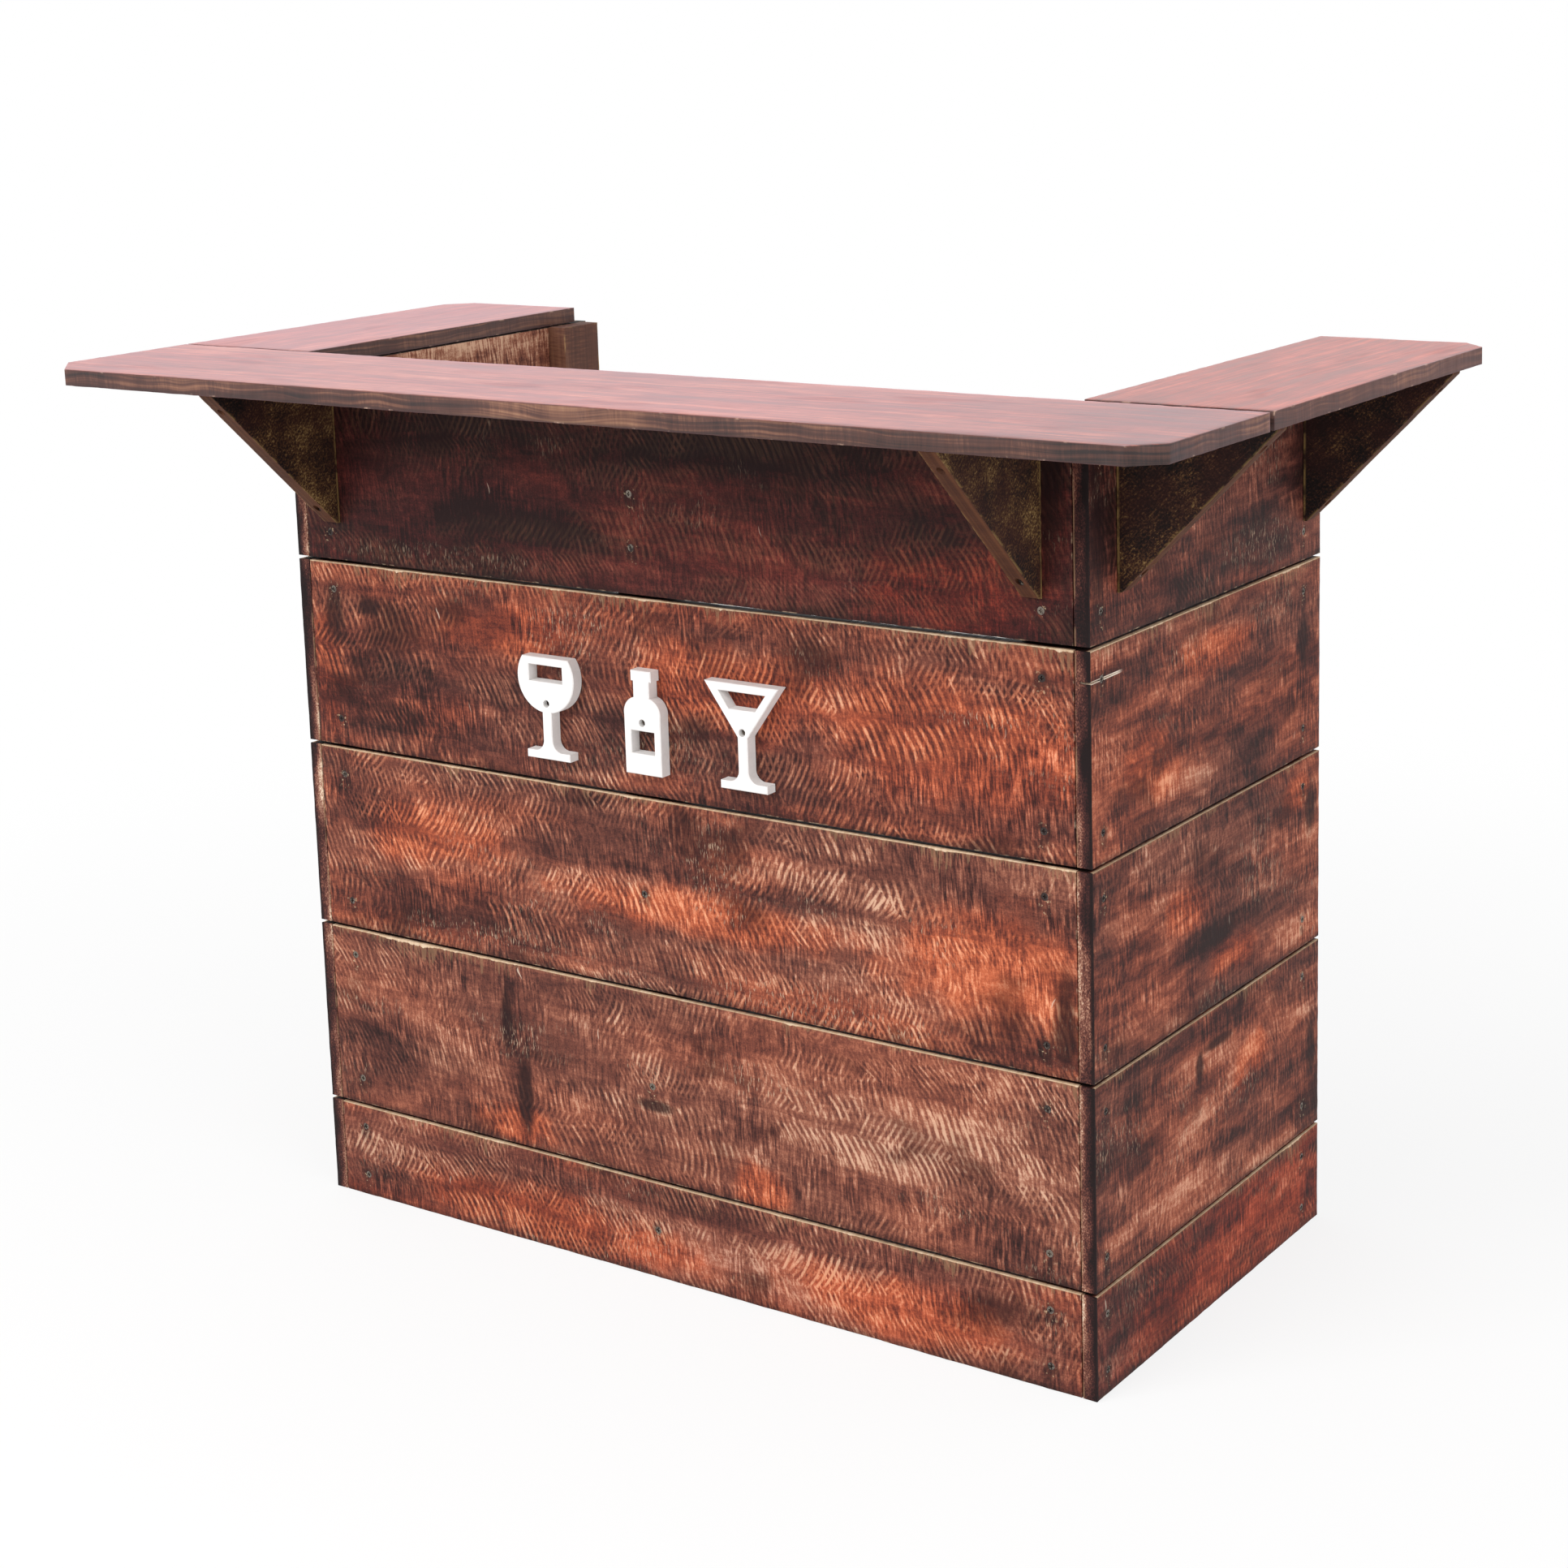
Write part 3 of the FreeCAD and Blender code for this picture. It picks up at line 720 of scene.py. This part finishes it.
def varnished_top(name, box, along_axis, seed, red, sheen, tint):
    """Planed top under satin varnish, its edges sawn and left duller."""
    low, high = box
    material, tree, shader, place = new_material(name)
    x, y, z = split(tree, place)
    along, across = (x, y) if along_axis == 0 else (y, x)
    lazy = vector(tree, along * 0.30, across, seed)
    clouds = noise(tree, lazy, 11.0, detail=4.0, distortion=0.8)
    bend = noise(tree, vector(tree, along * 0.8, across * 1.5, seed), 3.0, detail=2.0) * 0.05
    streaks = noise(tree, vector(tree, along * 6.0, (across + bend) * 125.0, seed), 1.0,
                    detail=5.0, roughness=0.65)
    fine = noise(tree, vector(tree, along * 14.0, (across + bend) * 420.0, seed), 1.0, detail=2.0)
    mottle = noise(tree, vector(tree, along * 0.55, across, seed + 1.0), 38.0, detail=5.0, roughness=0.65)
    brushed = sawn(tree, along, across, seed)
    lines = noise(tree, vector(tree, along * 5.0, (across + bend) * 190.0, seed + 2.0), 1.0, detail=2.0)
    tone = (clouds - 0.5) * 0.9 + (streaks - 0.5) * 1.3 + (fine - 0.5) * 0.45 + 0.58
    tone = tone + (mottle - 0.5) * 0.60 + (brushed - 0.5) * 0.08 - lines.step(0.58, 0.68) * 0.20
    # Painted shading: the face is darker and redder towards the right end, where the varnish throws back
    # less light
    rightward = x.step(0.15, 0.65)
    corner = rightward * y.step(-0.14, -0.20)
    face = ramp(tree, tone - rightward * 0.10 - corner * 0.08 + 0.02, top_stain)
    warm = noise(tree, lazy, 5.0, detail=2.0).step(0.44, 0.64).at_least(rightward * 0.6)
    face = blend(tree, warm * 0.3 + red, face, top_red, "OVERLAY")
    # Pale streaks along the grain: paler wood and a painted highlight of the varnish
    face = blend(tree, streaks.step(0.52, 0.74) * 0.30, face, top_pale_grain_and_highlight)
    dull = noise(tree, vector(tree, along * 0.3, across, seed + 4.0), 16.0, detail=3.0).step(0.56, 0.70)
    face = blend(tree, dull * 0.30, face, top_dull)

    # Sawn edges: wavy lengthwise grain with upright ticks
    on_side = (z * -1.0 + high.z).step(0.0009, 0.0016)
    wave = noise(tree, vector(tree, along * 6.0, across * 6.0, seed), 1.0, detail=2.0) * 0.030
    rings = noise(tree, vector(tree, along * 4.0, across * 4.0, (z + wave) * 260.0), 1.0, detail=3.0)
    saw = sawn(tree, along + across, z, seed)
    edge_cloud = noise(tree, vector(tree, along, across, seed), 9.0, detail=4.0)
    edge_tone = rings.step(0.25, 0.75) * 0.45 + (saw - 0.5) * 0.18 + (edge_cloud - 0.5) * 1.0 + 0.12
    edge_tone = edge_tone - y.step(-0.30, -0.36) * x.step(0.45, 0.66) * 0.22
    side = ramp(tree, edge_tone, edge_stain)
    side = blend(tree, (z - low.z).step(0.006, 0.001) * 0.6, side, top_lower_edge)
    shade = blend(tree, on_side, face, side)
    edge = distance_to_edge(tree, place, low, high)
    shade = blend(tree, edge.step(0.0026, 0.0008) * 0.65, shade, top_worn_edge)
    chips = noise(tree, vector(tree, along, across, z), 45.0, detail=4.0).step(0.60, 0.70)
    shade = blend(tree, edge.step(0.003, 0.001) * chips * 0.6, shade, top_chip)
    tree.links.new(shade.socket, shader.inputs["Base Color"])
    gloss = on_side * -0.35 + 0.38
    tree.links.new(gloss.socket, shader.inputs["Coat Weight"])
    bloom = corner * (-0.30 * sheen) + sheen
    tree.links.new(bloom.socket, shader.inputs["Sheen Weight"])
    shader.inputs["Sheen Roughness"].default_value = 0.35
    shader.inputs["Sheen Tint"].default_value = tint
    shader.inputs["Coat Roughness"].default_value = 0.36
    rough = on_side * 0.25 + 0.36 + (streaks - 0.5) * 0.22 + dull * 0.10
    tree.links.new(rough.socket, shader.inputs["Roughness"])
    relief(tree, shader, streaks * 0.5 + fine * 0.3 + saw * on_side * 0.4, 0.0006, 0.45)
    return material


bracket_stain = (
    (0.00, colour(12, 7, 7)), (0.30, colour(38, 19, 14)), (0.55, colour(72, 44, 26)),
    (0.80, colour(110, 82, 48)), (1.00, colour(160, 130, 84)))
slant_stain = (
    (0.00, colour(28, 13, 10)), (0.45, colour(70, 38, 24)), (0.75, colour(108, 66, 40)),
    (1.00, colour(150, 104, 66)))

bracket_red = colour(56, 22, 17)
bracket_worn_corner = colour(146, 116, 70)
bracket_raw_line = colour(150, 120, 72)
front_bracket_light = (0.04, 0.0)      # on the whole face, and more of it towards the tip
# Painted shade: the side brackets stand in the shadow under the side tops, darker on the whole face and
# more towards the tip
side_bracket_shade = (-0.16, -0.16)


def bracket_wood(name, box, thin_axis, panel, slant, seed, light, tip_shade):
    """Rough plank under a thin dark stain: mossy faces, browner sawn edges, a raw line by the panel."""
    low, high = box
    material, tree, shader, place = new_material(name)
    x, y, z = split(tree, place)
    thin = x if thin_axis == 0 else y
    wide = y if thin_axis == 0 else x
    hair = noise(tree, vector(tree, (wide + z) * 70.0, (z - wide) * 380.0, seed), 1.0,
                 detail=4.0, roughness=0.7)
    moss = noise(tree, vector(tree, wide, z, seed), 20.0, detail=5.0, roughness=0.7)
    pores = noise(tree, vector(tree, wide, z, seed), 380.0, detail=3.0, roughness=0.7)
    tone = (moss - 0.5) * 1.6 + (hair - 0.5) * 1.4 + (pores - 0.5) * 2.1 + 0.54
    dark = noise(tree, vector(tree, wide, z * 0.6, seed + 6.0), 9.0, detail=3.0).step(0.44, 0.64)
    # Tone offsets of the face; on the side brackets they are painted shade from the side tops, more of it
    # towards the tip
    outward = (wide - panel).math("ABSOLUTE").step(0.02, 0.13)
    face = ramp(tree, tone - dark * 0.34 + light + outward * tip_shade, bracket_stain)
    red = noise(tree, place, 14.0, detail=2.0).step(0.44, 0.62)
    face = blend(tree, red * 0.40, face, bracket_red)
    middle = (low[thin_axis] + high[thin_axis]) / 2
    half = (high[thin_axis] - low[thin_axis]) / 2
    inside = (thin - middle).math("ABSOLUTE") * -1.0 + half
    on_edge = inside.step(0.0008, 0.0016)
    lines = noise(tree, vector(tree, thin * 260.0, (wide + z) * 12.0, seed), 1.0, detail=3.0)
    long_edge = ramp(tree, lines * 0.7 + moss * 0.35, slant_stain)
    shade = blend(tree, on_edge, face, long_edge)
    point, normal = slant
    normal = normal.normalized()
    wide_axis = 1 - thin_axis
    to_slant = (wide - point[wide_axis]) * -normal[wide_axis] - (z - point.z) * normal.z
    corner = inside.at_least(to_slant)
    rub = corner.step(0.0030, 0.0010) * noise(tree, place, 60.0, detail=4.0).step(0.44, 0.60)
    shade = blend(tree, rub * 0.45, shade, bracket_worn_corner)
    by_panel = (wide - panel).math("ABSOLUTE").step(0.0045, 0.0020)
    ragged = noise(tree, vector(tree, wide * 30.0, thin * 90.0, z * 40.0), 1.0, detail=4.0).step(0.34, 0.56)
    shade = blend(tree, by_panel * ragged * 0.8, shade, bracket_raw_line)
    tree.links.new(shade.socket, shader.inputs["Base Color"])
    shader.inputs["Roughness"].default_value = 0.78
    shader.inputs["Specular IOR Level"].default_value = 0.25
    relief(tree, shader, hair * 0.8 + pores * 0.6, 0.0012, 0.8)
    return material


batten_tones = (
    (0.00, colour(40, 22, 18)), (0.40, colour(92, 54, 40)), (0.70, colour(136, 92, 66)),
    (1.00, colour(190, 150, 112)))

batten_red = colour(96, 42, 32)
batten_worn_edge = colour(190, 152, 104)


def batten_wood(name, box, thin_axis, seed):
    """Sawn upright batten, stained where it was easy to reach."""
    low, high = box
    material, tree, shader, place = new_material(name)
    x, y, z = split(tree, place)
    wide = y if thin_axis == 0 else x
    thin = x if thin_axis == 0 else y
    grain = noise(tree, vector(tree, wide * 150.0, thin * 150.0, z * 5.0), 1.0, detail=4.0, roughness=0.65)
    clouds = noise(tree, vector(tree, wide, thin, z * 0.4 + seed), 10.0, detail=4.0)
    saw = sawn(tree, z, wide + thin, seed)
    shade = ramp(tree, clouds * 0.8 + (grain - 0.5) * 0.6 + (saw - 0.5) * 0.2, batten_tones)
    red = noise(tree, vector(tree, wide, thin, z + seed), 5.0, detail=3.0).step(0.44, 0.62)
    shade = blend(tree, red * 0.7, shade, batten_red, "MULTIPLY")
    edge = distance_to_edge(tree, place, low, high)
    rub = edge.step(0.003, 0.001) * noise(tree, place, 30.0, detail=4.0).step(0.46, 0.64)
    shade = blend(tree, rub * 0.7, shade, batten_worn_edge)
    tree.links.new(shade.socket, shader.inputs["Base Color"])
    shader.inputs["Roughness"].default_value = 0.75
    relief(tree, shader, grain * 0.6 + saw * 0.5, 0.0008, 0.6)
    return material


paint_tones = (
    (0.0, colour(214, 209, 206)), (0.6, colour(238, 236, 234)), (1.0, colour(246, 245, 243)))


def white_paint():
    """Brushed off-white paint, greyer in its hollows."""
    material, tree, shader, place = new_material("white_paint")
    x, y, z = split(tree, place)
    brush = noise(tree, vector(tree, x * 60.0, y * 300.0, z * 500.0), 1.0, detail=3.0)
    cloud = noise(tree, place, 40.0, detail=3.0)
    shade = ramp(tree, cloud * 0.7 + brush * 0.3, paint_tones)
    tree.links.new(shade.socket, shader.inputs["Base Color"])
    rough = brush * 0.2 + 0.45
    tree.links.new(rough.socket, shader.inputs["Roughness"])
    relief(tree, shader, brush, 0.0003, 0.4)
    return material


def screw_steel():
    """Dull zinc-plated steel, smeared with stain."""
    material, tree, shader, place = new_material("screw_steel")
    stained = noise(tree, place, 11.0, detail=1.0) - 0.5
    smear = (noise(tree, place, 300.0, detail=3.0) + stained * 0.9).step(0.38, 0.56)
    shade = blend(tree, smear, colour(126, 116, 106), colour(42, 29, 26))
    tree.links.new(shade.socket, shader.inputs["Base Color"])
    metal = smear * -0.75 + 0.95
    tree.links.new(metal.socket, shader.inputs["Metallic"])
    rough = smear * 0.3 + 0.35
    tree.links.new(rough.socket, shader.inputs["Roughness"])
    return material


def dress(piece, material):
    """The only finish of a piece."""
    piece.data.materials.clear()
    piece.data.materials.append(material)


# Panel boards

front_looks = {
    "board_1": dict(
        seed=1.3, warmth=0.20, light=-0.18, sanding=0.42, steeped=1.0, cloudy=1.25, sawing=0.55,
        # The first dark patch is painted shade under the front top's overhang
        dark=((-0.1, 0.80, 0.5, 0.06), (-0.2, 0.3, 0.2, 0.03)),
        # painted shadow of the front right bracket, to its right
        spills_and_shadow=((0.497, 0.76, 0.018, 0.12),),
        warm=((0.40, 0.2, 0.16, 0.08),),
        pale=((0.32, 0.12, 0.30, 0.060), (0.0, 0.06, 0.25, 0.035)),
        fuzzy=((-0.30, 0.08, 0.20, 0.02),)),
    "board_2": dict(
        seed=2.9, warmth=0.60, light=0.03, steeped=0.3,
        warm=((0.38, 0.5, 0.24, 0.10), (0.10, 0.6, 0.22, 0.07), (-0.22, 0.75, 0.14, 0.05),
              (-0.50, 0.4, 0.04, 0.12)),
        pale=((0.36, 0.55, 0.22, 0.10), (0.05, 0.75, 0.15, 0.04)),
        fuzzy=((0.42, 0.62, 0.10, 0.012), (-0.12, 0.85, 0.10, 0.02)),
        spills_and_shadow=((-0.485, 0.72, 0.022, 0.05), (-0.43, 0.78, 0.03, 0.02)),
        dark=((-0.42, 0.50, 0.16, 0.10), (-0.05, 0.3, 0.06, 0.04), (-0.40, 0.15, 0.16, 0.04))),
    "board_3": dict(
        seed=4.1, warmth=0.60, light=0.08, steeped=0.2,
        warm=((0.42, 0.45, 0.18, 0.10), (0.02, 0.45, 0.30, 0.04), (-0.35, 0.6, 0.15, 0.06)),
        pale=((0.36, 0.45, 0.26, 0.10), (-0.05, 0.5, 0.2, 0.03)),
        fuzzy=((0.20, 0.10, 0.22, 0.030), (-0.25, 0.12, 0.15, 0.02)),
        spills_and_shadow=((0.508, 0.28, 0.022, 0.07),),
        dark=((-0.32, 0.22, 0.24, 0.05), (-0.45, 0.7, 0.10, 0.06), (0.1, 0.62, 0.25, 0.015),
              (0.46, 0.12, 0.08, 0.04))),
    "board_4": dict(
        seed=5.7, warmth=0.22, light=0.15, sanding=0.85, cloudy=1.1, steeped=0.2,
        spills_and_shadow=((-0.245, 0.70, 0.012, 0.07), (-0.222, 0.30, 0.016, 0.08), (-0.03, 0.40, 0.035, 0.010)),
        dark=((-0.23, 0.5, 0.03, 0.12), (0.43, 0.3, 0.1, 0.03), (-0.45, 0.4, 0.08, 0.08)),
        warm=((-0.25, 0.1, 0.08, 0.04), (0.12, 0.1, 0.05, 0.04)),
        pale=((0.25, 0.6, 0.25, 0.07),)),
    "base_board": dict(
        seed=7.2, warmth=0.7, light=0.11, steeped=0.4, cloudy=1.25,
        warm=((-0.2, 0.3, 0.3, 0.05), (0.3, 0.4, 0.2, 0.05)),
        pale=((0.1, 0.4, 0.4, 0.05),)),
}
side_wood = dict(light=0.06, sanding=0.30, cloudy=1.9, sawing=0.85, smeared=1.2, steeped=0.3, raw_line=0.7)
side_looks = {
    "board_1": dict(
        seed=11.3, warmth=0.3, light=-0.01, cloudy=1.8, smeared=1.1, steeped=0.4, end_light=-0.06,
        dark=((-0.14, 0.6, 0.03, 0.10),),
        spills_and_shadow=((-0.165, 0.62, 0.022, 0.13),),
        fuzzy=((0.20, 0.18, 0.12, 0.03),)),
    "board_2": dict(
        seed=12.9, warmth=0.45, raw_line=1.0, end_light=-0.12,
        warm=((-0.05, 0.35, 0.10, 0.06), (0.10, 0.75, 0.12, 0.04)),
        fuzzy=((0.02, 0.80, 0.07, 0.025), (0.24, 0.85, 0.08, 0.02)),
        spills_and_shadow=((0.315, 0.60, 0.020, 0.045),),
        dark=((-0.12, 0.2, 0.04, 0.03), (0.32, 0.5, 0.04, 0.06))),
    "board_3": dict(
        seed=14.4, warmth=0.45, end_light=0.10,
        warm=((0.02, 0.55, 0.08, 0.04), (0.14, 0.2, 0.08, 0.03), (0.30, 0.85, 0.05, 0.03)),
        dark=((0.30, 0.6, 0.03, 0.03), (0.10, 0.38, 0.2, 0.02), (-0.12, 0.85, 0.05, 0.03)),
        spills_and_shadow=((0.335, 0.72, 0.022, 0.05),),
        fuzzy=((0.22, 0.5, 0.08, 0.04),)),
    "board_4": dict(
        seed=15.8, warmth=0.35, end_light=0.02,
        warm=((0.18, 0.6, 0.06, 0.05),),
        pale=((0.05, 0.45, 0.10, 0.04),),
        dark=((-0.10, 0.75, 0.03, 0.06), (0.10, 0.9, 0.12, 0.02)),
        spills_and_shadow=((0.055, 0.74, 0.012, 0.03), (0.10, 0.82, 0.05, 0.010), (0.34, 0.45, 0.016, 0.05)),
        fuzzy=((0.12, 0.5, 0.12, 0.03),)),
    "base_board": dict(
        seed=17.1, warmth=0.9, sanding=0.5, smeared=0.9, steeped=0.8, end_light=-0.04),
}
left_seed_shift = 20.0         # the left side's boards are other boards than the right side's

front_screws = screws_of("front_board_screws")
for level in levels:
    node = "front_" + level
    piece = plank(node, "Y", screws=front_screws)
    low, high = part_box(node)
    dress(piece, stained_board("stained_" + node, (low, high), 0, outer=(1, low.y, 1.0),
                               screws=seats_in(node, front_screws), **front_looks[level]))

for flank, shift in (("left", left_seed_shift), ("right", 0.0)):
    side_screws = screws_of(flank + "_side_screws")
    for level in levels:
        node = "%s_%s" % (flank, level)
        low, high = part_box(node)
        piece = plank(node, "X", screws=side_screws)
        outer = (0, low.x, 1.0) if flank == "left" else (0, high.x, -1.0)
        looks = dict(side_wood, end_y=low.y, outer=outer, screws=seats_in(node, side_screws))
        looks.update(side_looks[level])
        looks["seed"] += shift
        if node == "right_board_2":
            corner = [seat for seat, _ in side_screws if low.z < seat.z < high.z and seat.y < 0.0]
            looks["crack_height"] = max(seat.z for seat in corner)
            split_end(piece, node, looks["crack_height"])
        dress(piece, stained_board("stained_" + node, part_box(node), 1, **looks))

# Battens

for node, facing, seed in (("front_left_batten", "Y", 1.0), ("front_middle_batten", "Y", 2.0),
                           ("front_right_batten", "Y", 3.0), ("left_rear_batten", "X", 4.0),
                           ("right_rear_batten", "X", 5.0)):
    piece = plank(node, facing)
    dress(piece, batten_wood("sawn_" + node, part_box(node), AXES.index(facing), seed))

# Tops

for node, along_axis, sides, ends, seed, red, sheen, tint in (
        ("front_top", 0, (-1, 1), (-1,), 1.5, 0.10, 0.51, pink),
        ("left_top", 1, (-1,), (1,), 2.5, 0.10, 0.62, pink),
        ("right_top", 1, (1,), (1,), 3.5, 0.46, 0.41, coral)):
    piece = plank(node, "Z", cuts=top_cuts(node, sides, ends))
    dress(piece, varnished_top("varnished_" + node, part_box(node), along_axis, seed, red, sheen, tint))

# Brackets

bracket_rows = [("front_left_bracket", "X", 1, -1), ("front_right_bracket", "X", 1, -1)]
for flank, sign in (("left", -1), ("right", 1)):
    for part in ("fore", "rear"):
        bracket_rows.append(("%s_%s_bracket" % (flank, part), "Y", 0, sign))
bracket_screws = [screw for group in ("front", "left", "right")
                  for screw in screws_of(group + "_bracket_screws")]
for number, (node, facing, out_axis, sign) in enumerate(bracket_rows):
    slant = bracket_cut(node, out_axis, sign)
    piece = plank(node, facing, cuts=[slant], screws=bracket_screws, pocket=bracket_pocket)
    low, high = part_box(node)
    panel = low[out_axis] if sign > 0 else high[out_axis]
    light, tip_shade = front_bracket_light if out_axis == 1 else side_bracket_shade
    dress(piece, bracket_wood("bracket_wood_" + node, (low, high), AXES.index(facing), panel, slant,
                              number * 3.1, light, tip_shade))

# Cut-outs and screws keep their solids

paint = white_paint()
steel = screw_steel()
for subpart in frame["record"]["subparts"]:
    solid = frame["nodes"][subpart["node"]]
    if subpart["material_slot"] == "white_paint":
        dress(solid, paint)
    if subpart["material_slot"] == "screws":
        dress(solid, steel)


# Floor, light and camera

floor_size = 60.0
floor_glow = 0.80              # share of plain white in the floor that the camera sees near the object
floor_fade = (1.0, 2.6)        # distances between which the floor turns plain white
photo_width = 1932.0           # pixels, both ways
photo_focus = 3514.5           # focal length, in pixels
photo_middle = (990.1, 653.1)  # pixel that the lens points at
camera_place = Vector((1.8790, -2.5937, 1.4440))
camera_azimuth = math.radians(-34.84)
camera_pitch = math.radians(10.57)
camera_roll = math.radians(-1.68)
sensor_width = 36.0
world_light = 0.60             # on the object
world_seen = 1.00              # where the camera or a reflection sees it
key_lamp = dict(place=(-1.5, -5.0, 4.5), aim=(0.0, 0.0, 0.5), size=4.0, power=300.0)
fill_lamp = dict(place=(5.0, -1.5, 3.0), aim=(0.3, 0.0, 0.5), size=4.0, power=110.0)


def add_floor():
    bpy.ops.object.select_all(action="DESELECT")
    bpy.ops.mesh.primitive_plane_add(size=floor_size)
    floor = bpy.context.object
    floor.name = "studio_floor"
    material, tree, shader, place = new_material("pale_floor")
    haze = noise(tree, place, 0.6, detail=2.0)
    shade = blend(tree, haze, colour(240, 240, 240), colour(246, 246, 246))
    tree.links.new(shade.socket, shader.inputs["Base Color"])
    shader.inputs["Roughness"].default_value = 0.9
    glow = put(tree, "ShaderNodeEmission", {"Color": (1.0, 1.0, 1.0, 1.0), "Strength": 1.0})
    path = tree.nodes.new("ShaderNodeLightPath")
    seen = Wire(tree, path.outputs["Is Camera Ray"]).at_least(Wire(tree, path.outputs["Is Glossy Ray"]))
    x, y, _ = split(tree, place)
    away = (x * x + y * y).math("SQRT").step(*floor_fade)
    mixed = put(tree, "ShaderNodeMixShader", {0: seen * (away * (1.0 - floor_glow) + floor_glow)})
    tree.links.new(shader.outputs[0], mixed.inputs[1])
    tree.links.new(glow.outputs[0], mixed.inputs[2])
    output = next(node for node in tree.nodes if node.type == "OUTPUT_MATERIAL")
    tree.links.new(mixed.outputs[0], output.inputs[0])
    dress(floor, material)


def add_world():
    """Even pale surroundings, white where the camera or a reflection sees them."""
    world = bpy.data.worlds.new("studio")
    bpy.context.scene.world = world
    world.use_nodes = True
    tree = world.node_tree
    background = tree.nodes["Background"]
    background.inputs["Color"].default_value = (1.0, 1.0, 1.0, 1.0)
    path = tree.nodes.new("ShaderNodeLightPath")
    seen = Wire(tree, path.outputs["Is Camera Ray"]).at_least(Wire(tree, path.outputs["Is Glossy Ray"]))
    seen = seen.at_least(Wire(tree, path.outputs["Is Transmission Ray"]))
    strength = seen * (world_seen - world_light) + world_light
    tree.links.new(strength.socket, background.inputs["Strength"])


def add_lamp(name, place, aim, size, power):
    lamp = bpy.data.lights.new(name, "AREA")
    lamp.shape = "SQUARE"
    lamp.size = size
    lamp.energy = power
    holder = bpy.data.objects.new(name, lamp)
    bpy.context.scene.collection.objects.link(holder)
    holder.location = place
    holder.rotation_euler = (Vector(aim) - Vector(place)).to_track_quat("-Z", "Y").to_euler()


def add_camera():
    camera = bpy.data.cameras.new("photo_camera")
    camera.sensor_width = sensor_width
    camera.lens = sensor_width * photo_focus / photo_width
    camera.shift_x = (photo_width / 2 - photo_middle[0]) / photo_width
    camera.shift_y = (photo_middle[1] - photo_width / 2) / photo_width
    holder = bpy.data.objects.new("photo_camera", camera)
    bpy.context.scene.collection.objects.link(holder)
    turn = (Matrix.Rotation(camera_roll, 3, "Y") @ Matrix.Rotation(camera_pitch, 3, "X")
            @ Matrix.Rotation(camera_azimuth, 3, "Z"))
    right, forward, up = turn
    axes = Matrix((right, up, -forward)).transposed()
    holder.matrix_world = Matrix.Translation(camera_place) @ axes.to_4x4()
    bpy.context.scene.camera = holder


add_floor()
add_world()
add_lamp("key", **key_lamp)
add_lamp("fill", **fill_lamp)
add_camera()
bpy.context.scene.view_settings.view_transform = "Standard"
